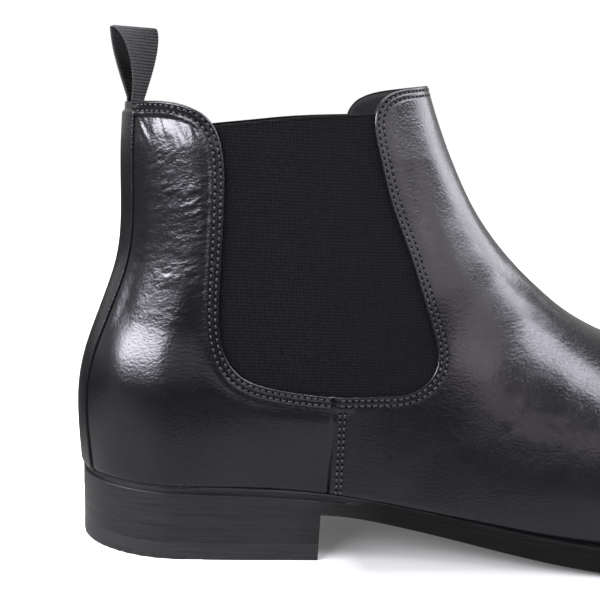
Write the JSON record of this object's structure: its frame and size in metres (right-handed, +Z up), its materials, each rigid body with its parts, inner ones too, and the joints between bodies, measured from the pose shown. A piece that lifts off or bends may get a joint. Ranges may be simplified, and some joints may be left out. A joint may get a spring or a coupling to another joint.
{
  "type": "chelsea boot",
  "caption": "Right ankle-height chelsea boot in black leather with elastic side gores, webbing pull tab, stacked heel and flat leather-look sole.",
  "frame": {"origin": "on the floor, under the back of the heel's top piece, in the plane of the back seam", "axes": "+X to the toe, +Z up, -Y to the outer (lateral) side of a right foot"},
  "size_m": [0.3028, 0.1028, 0.1671],
  "materials": {
    "upper_leather": "polished smooth calf, fine grain",
    "lining_leather": "matt",
    "elastic": "ribbed elastic weave, matt",
    "webbing": "grosgrain, matt",
    "stiffener": "matt",
    "board": "matt",
    "cork": "granular, matt",
    "steel": "brushed",
    "sole_rubber": "satin"
  },
  "bodies": {
    "boot": {"vamp": "upper_leather", "quarter_lateral": "upper_leather", "quarter_medial": "upper_leather", "backstay": "upper_leather", "vamp_lining": "lining_leather", "quarter_lining": "lining_leather", "gore_lateral": "elastic", "gore_medial": "elastic", "heel_counter": "stiffener", "toe_puff": "stiffener", "insole": "board", "sock_liner": "lining_leather", "heel_pad": "lining_leather", "cork_filler": "cork", "shank": "steel", "shank_rivets": "steel", "welt": "sole_rubber", "outsole": "sole_rubber", "heel_lift_upper": "sole_rubber", "heel_lift_lower": "sole_rubber", "top_piece": "sole_rubber", "heel_nails": "steel"},
    "collar_rear": {"quarter_shaft_lateral": "upper_leather", "quarter_shaft_medial": "upper_leather", "backstay_shaft": "upper_leather", "quarter_shaft_lining": "lining_leather", "pull_tab_ends": "webbing"},
    "pull_tab": {"pull_tab": "webbing"}
  },
  "joints": [
    {"name": "collar_open", "type": "hinge", "parent": "boot", "child": "collar_rear", "pos_m": [0.00415, 0, 0.079], "axis": [0, -1, 0], "range_deg": [0, 12], "stiffness_Nm_per_rad": 8, "deforming": ["gore_lateral", "gore_medial"]},
    {"name": "pull_tab_fold", "type": "hinge", "parent": "collar_rear", "child": "pull_tab", "pos_m": [0.0122, 0, 0.1446], "axis": [0, 1, 0], "range_deg": [-18, 60], "stiffness_Nm_per_rad": 0.02}
  ]
}
